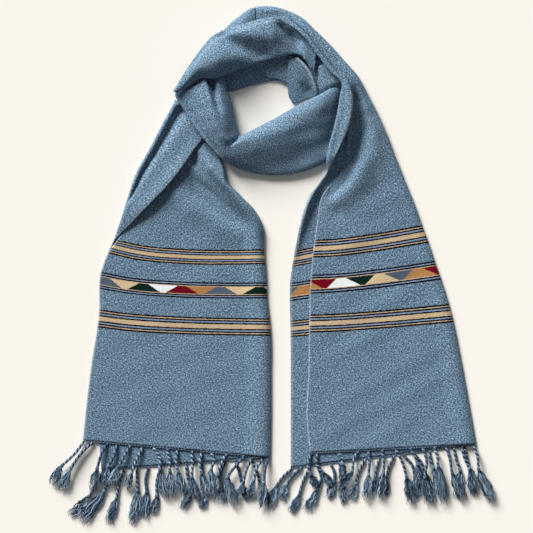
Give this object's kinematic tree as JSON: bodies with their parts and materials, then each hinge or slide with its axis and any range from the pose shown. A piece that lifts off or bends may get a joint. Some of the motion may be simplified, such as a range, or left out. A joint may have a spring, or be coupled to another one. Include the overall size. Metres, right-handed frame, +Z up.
{
  "type": "wool muffler",
  "caption": "Wool muffler folded in half lengthwise, wound into a neck loop and laid flat, with two fringed, striped ends side by side, to wear round the neck for warmth.",
  "frame": {"origin": "under the middle of the bounding box, on the surface that the muffler lies on", "axes": "+Z up, away from that surface; +Y from the fringes to the nape of the loop, along the longest extent; +X to the right of someone looking down on it"},
  "size_m": [0.6634, 0.776, 0.0381],
  "materials": {
    "wool_cloth": "heathered blue-grey wool twill with woven stripes",
    "wool_fringe": "twisted and knotted warp ends of the same wool"
  },
  "bodies": {
    "root": {"left_tail": "wool_cloth", "right_tail": "wool_cloth", "throat_band": "wool_cloth", "nape_roll": "wool_cloth", "nape_back_layer": "wool_cloth", "inner_turn_lower_layer": "wool_cloth", "inner_turn_upper_layer": "wool_cloth", "inner_turn_fold": "wool_cloth", "inner_turn_end": "wool_cloth", "left_front_fringe": "wool_fringe", "left_back_fringe": "wool_fringe", "right_front_fringe": "wool_fringe", "right_back_fringe": "wool_fringe"}
  },
  "joints": []
}
